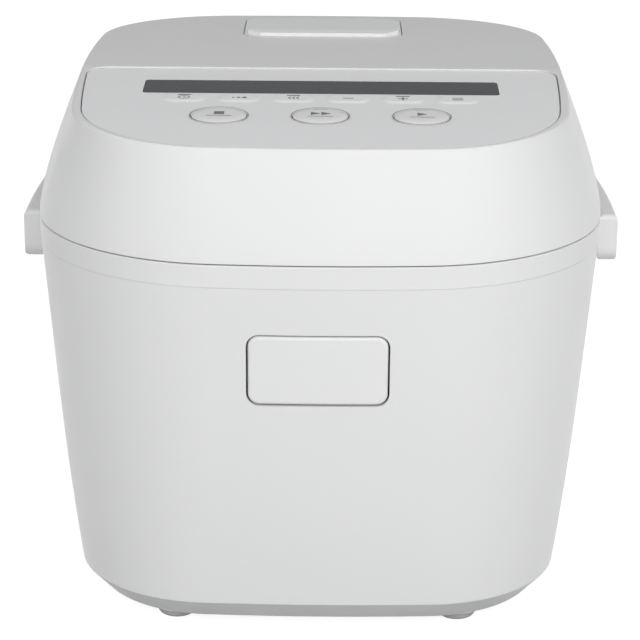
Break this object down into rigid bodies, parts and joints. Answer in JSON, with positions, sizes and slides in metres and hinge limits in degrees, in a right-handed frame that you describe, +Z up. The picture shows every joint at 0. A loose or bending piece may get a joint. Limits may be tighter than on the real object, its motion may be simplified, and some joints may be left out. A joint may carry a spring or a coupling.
{
  "type": "rice cooker",
  "caption": "Compact electric rice cooker with a hinged lid, sloping key panel, push-button lid release, lift-out steam cap, lift-out pot and swinging carrying handle.",
  "frame": {"origin": "on the floor right below the axis that the carrying handle swings about, on the object's middle plane", "axes": "+X to the right seen from the front, +Y rearwards from the front face, +Z up"},
  "size_m": [0.2376, 0.2738, 0.1923],
  "materials": {
    "shell_white": "smooth moulded, satin gloss",
    "panel_white": "smooth moulded, satin",
    "base_grey": "fine texture",
    "handle_white": "satin gloss",
    "button_white": "satin",
    "window_smoke": "dark tinted, polished",
    "indicator_dark": "polished",
    "inner_white": "fine texture",
    "rubber_grey": "matt",
    "silicone": "matt, soft",
    "pot_coating": "dark non-stick coating",
    "plate_alloy": "cast, turned face",
    "steel": "zinc-plated",
    "lid_alloy": "pressed, satin",
    "board_green": "solder-masked laminate",
    "component_black": "moulded",
    "inlet_black": "moulded",
    "brass": "bright"
  },
  "bodies": {
    "housing": {"base_cover": "base_grey", "base_screws": "steel", "foot_front_left": "rubber_grey", "foot_front_right": "rubber_grey", "foot_rear_left": "rubber_grey", "foot_rear_right": "rubber_grey", "outer_body": "shell_white", "top_frame": "shell_white", "inner_can": "steel", "body_heater": "silicone", "inner_pot": "pot_coating", "heating_plate": "plate_alloy", "heating_element": "plate_alloy", "plate_posts": "steel", "sensor_guide": "steel", "sensor_spring": "steel", "thermal_fuse": "component_black", "handle_hub_left": "handle_white", "handle_hub_right": "handle_white", "latch_frame": "inner_white", "latch_pin": "steel", "release_springs": "steel", "hinge_housing": "shell_white", "hinge_pin": "steel", "hinge_springs": "steel", "power_inlet": "inlet_black", "inlet_pins": "brass", "power_board": "board_green", "board_components": "component_black"},
    "lid": {"lid_cover": "shell_white", "control_panel": "panel_white", "key_indicators": "indicator_dark", "display_window": "window_smoke", "display_module": "component_black", "switch_board": "board_green", "touch_switches": "component_black", "steam_duct": "inner_white", "lid_base": "inner_white", "lid_screws": "steel", "lid_catch": "steel", "lid_gasket": "silicone", "inner_lid": "lid_alloy", "inner_lid_grommet": "silicone", "lid_sensor": "steel", "hinge_arm_left": "steel", "hinge_arm_right": "steel"},
    "handle": {"handle": "handle_white"},
    "release_button": {"release_button": "button_white"},
    "latch_hook": {"latch_hook": "inner_white"},
    "cancel_button": {"cancel_button": "button_white"},
    "quick_cook_button": {"quick_cook_button": "button_white", "quick_cook_light": "indicator_dark"},
    "start_button": {"start_button": "button_white", "start_light": "indicator_dark"},
    "steam_vent_cap": {"steam_vent_cap": "panel_white"},
    "thermal_sensor": {"thermal_sensor": "plate_alloy"}
  },
  "joints": [
    {"name": "lid_hinge", "type": "hinge", "parent": "housing", "child": "lid", "pos_m": [0, 0.102, 0.15], "axis": [-1, 0, 0], "range_deg": [0, 80]},
    {"name": "handle_swing", "type": "hinge", "parent": "housing", "child": "handle", "pos_m": [0, 0, 0.1215], "axis": [1, 0, 0], "range_deg": [0, 90]},
    {"name": "release_button_slide", "type": "slide", "parent": "housing", "child": "release_button", "axis": [0, 1, 0], "range_m": [0, 0.003], "stiffness_N_per_m": 900, "deforming": ["release_springs"]},
    {"name": "latch_hook_pivot", "type": "hinge", "parent": "housing", "child": "latch_hook", "pos_m": [0, -0.122, 0.132], "axis": [1, 0, 0], "range_deg": [0, 7.3]},
    {"name": "cancel_button_press", "type": "slide", "parent": "lid", "child": "cancel_button", "axis": [0, 0.035, -0.9994], "range_m": [0, 0.001], "stiffness_N_per_m": 400},
    {"name": "quick_cook_button_press", "type": "slide", "parent": "lid", "child": "quick_cook_button", "axis": [0, 0.035, -0.9994], "range_m": [0, 0.001], "stiffness_N_per_m": 400},
    {"name": "start_button_press", "type": "slide", "parent": "lid", "child": "start_button", "axis": [0, 0.035, -0.9994], "range_m": [0, 0.001], "stiffness_N_per_m": 400},
    {"name": "steam_vent_cap_lift", "type": "slide", "parent": "lid", "child": "steam_vent_cap", "axis": [0, 0, 1], "range_m": [0, 0.03]},
    {"name": "thermal_sensor_plunge", "type": "slide", "parent": "housing", "child": "thermal_sensor", "axis": [0, 0, -1], "range_m": [0, 0.003], "stiffness_N_per_m": 300, "deforming": ["sensor_spring"]}
  ],
  "couplings": [
    {"joint": "latch_hook_pivot", "follows": "release_button_slide", "rad_per_m": 42.017}
  ]
}
